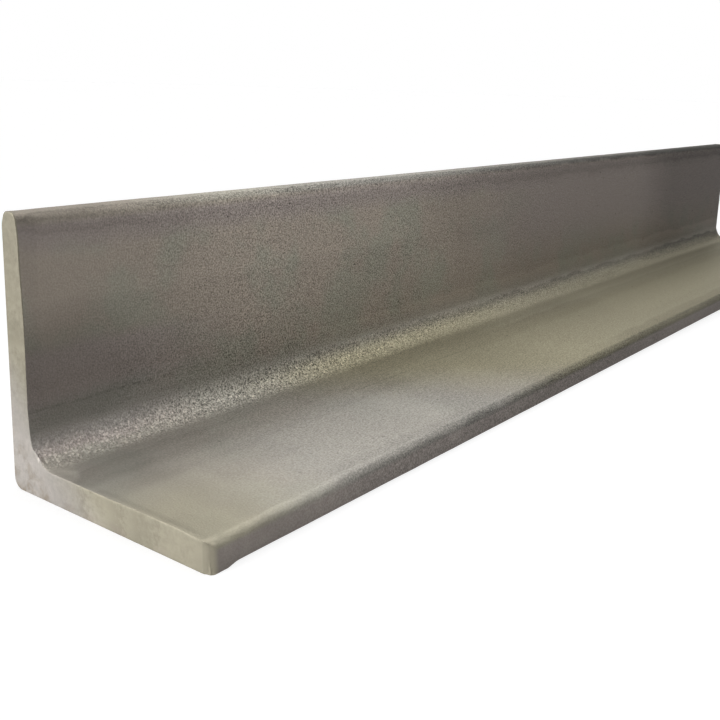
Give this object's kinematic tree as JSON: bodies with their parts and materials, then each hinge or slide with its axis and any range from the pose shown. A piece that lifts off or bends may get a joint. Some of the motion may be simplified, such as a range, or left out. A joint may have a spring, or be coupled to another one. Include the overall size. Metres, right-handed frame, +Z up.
{
  "type": "metal angle section",
  "caption": "Equal-leg hot-rolled stainless steel angle bar with a root fillet, rounded toes and square cut ends, lying on one leg.",
  "frame": {"origin": "on the floor, under the centre of the bar's footprint", "axes": "+X along the bar, +Z up, the foot reaches towards -Y and the upright stands at +Y"},
  "size_m": [0.3, 0.04, 0.04],
  "materials": {
    "pickled_steel": "hot rolled, blasted and pickled: matt warm grey with a fine grain"
  },
  "bodies": {
    "root": {"angle_bar": "pickled_steel"}
  },
  "joints": []
}
